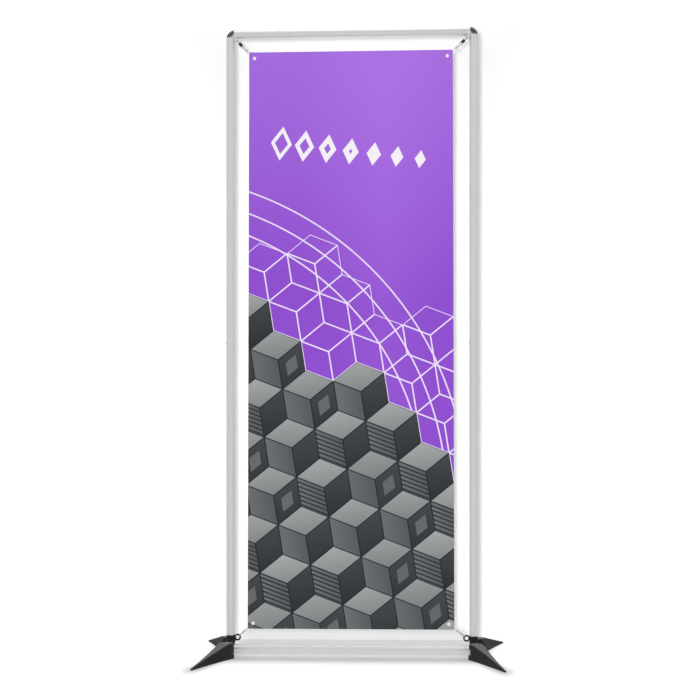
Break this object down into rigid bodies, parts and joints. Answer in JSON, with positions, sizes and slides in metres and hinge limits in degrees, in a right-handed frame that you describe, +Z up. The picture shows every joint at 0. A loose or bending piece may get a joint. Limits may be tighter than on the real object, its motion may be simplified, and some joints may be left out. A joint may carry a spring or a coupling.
{
  "type": "banner display frame",
  "caption": "Free-standing upright frame of round aluminium tubes with a banner stretched between sprung corner tensioners and black wedge feet that swing out at the bottom corners.",
  "frame": {"origin": "on the floor under the middle of the upright rectangle, between the two lower corner pieces", "axes": "+Z up; the printed front faces -Y; +X is to the viewer's right"},
  "size_m": [0.9264, 0.5571, 1.827],
  "materials": {
    "aluminium": "satin anodised",
    "silver_plastic": "moulded, silver, darker round the bend",
    "grey_plastic": "moulded, lightly textured",
    "black_plastic": "moulded, semi-matt",
    "bronzed_steel": "dark bronzed wire",
    "spring_steel": "drawn wire",
    "zinc_steel": "zinc plated",
    "nickel": "nickel plated",
    "nylon": "natural nylon",
    "printed_vinyl": "printed coated cloth, purple above and grey below"
  },
  "bodies": {
    "frame": {"top_rail": "aluminium", "bottom_rail": "aluminium", "left_post_lower": "aluminium", "left_post_upper": "aluminium", "right_post_lower": "aluminium", "right_post_upper": "aluminium", "left_post_joiner": "grey_plastic", "right_post_joiner": "grey_plastic", "left_button_spring": "spring_steel", "right_button_spring": "spring_steel", "corner_top_left": "silver_plastic", "corner_top_right": "silver_plastic", "corner_bottom_left": "black_plastic", "corner_bottom_right": "black_plastic", "tension_hook_top_left": "bronzed_steel", "tension_hook_top_right": "bronzed_steel", "tension_spring_top_left": "spring_steel", "tension_spring_top_right": "spring_steel", "tension_spring_bottom_left": "spring_steel", "tension_spring_bottom_right": "spring_steel", "grommet_top_left": "nickel", "grommet_top_right": "nickel", "grommet_bottom_left": "nickel", "grommet_bottom_right": "nickel", "grommet_washer_top_left": "nickel", "grommet_washer_top_right": "nickel", "grommet_washer_bottom_left": "nickel", "grommet_washer_bottom_right": "nickel", "banner": "printed_vinyl"},
    "front_left_foot": {"foot_front_left": "black_plastic", "pivot_bolt_front_left": "zinc_steel", "pivot_nut_front_left": "zinc_steel", "pivot_washer_front_left": "nylon"},
    "front_right_foot": {"foot_front_right": "black_plastic", "pivot_bolt_front_right": "zinc_steel", "pivot_nut_front_right": "zinc_steel", "pivot_washer_front_right": "nylon"},
    "rear_left_foot": {"foot_rear_left": "black_plastic", "pivot_bolt_rear_left": "zinc_steel", "pivot_nut_rear_left": "zinc_steel", "pivot_washer_rear_left": "nylon"},
    "rear_right_foot": {"foot_rear_right": "black_plastic", "pivot_bolt_rear_right": "zinc_steel", "pivot_nut_rear_right": "zinc_steel", "pivot_washer_rear_right": "nylon"},
    "left_button": {"left_snap_button": "zinc_steel"},
    "right_button": {"right_snap_button": "zinc_steel"}
  },
  "joints": [
    {"name": "front_left_foot_swing", "type": "hinge", "parent": "frame", "child": "front_left_foot", "pos_m": [-0.357, -0.066, 0.022], "axis": [0, 0, 1], "range_deg": [-28.4, 102.6]},
    {"name": "front_right_foot_swing", "type": "hinge", "parent": "frame", "child": "front_right_foot", "pos_m": [0.357, -0.066, 0.022], "axis": [0, 0, -1], "range_deg": [-28.4, 102.6]},
    {"name": "rear_left_foot_swing", "type": "hinge", "parent": "frame", "child": "rear_left_foot", "pos_m": [-0.3685, 0.066, 0.022], "axis": [0, 0, -1], "range_deg": [-21, 102]},
    {"name": "rear_right_foot_swing", "type": "hinge", "parent": "frame", "child": "rear_right_foot", "pos_m": [0.3685, 0.066, 0.022], "axis": [0, 0, 1], "range_deg": [-21, 102]},
    {"name": "left_button_press", "type": "slide", "parent": "frame", "child": "left_button", "axis": [1, 0, 0], "range_m": [0, 0.0024], "stiffness_N_per_m": 1500, "springref_m": -0.001, "deforming": ["left_button_spring"]},
    {"name": "right_button_press", "type": "slide", "parent": "frame", "child": "right_button", "axis": [1, 0, 0], "range_m": [0, 0.0024], "stiffness_N_per_m": 1500, "springref_m": -0.001, "deforming": ["right_button_spring"]}
  ]
}
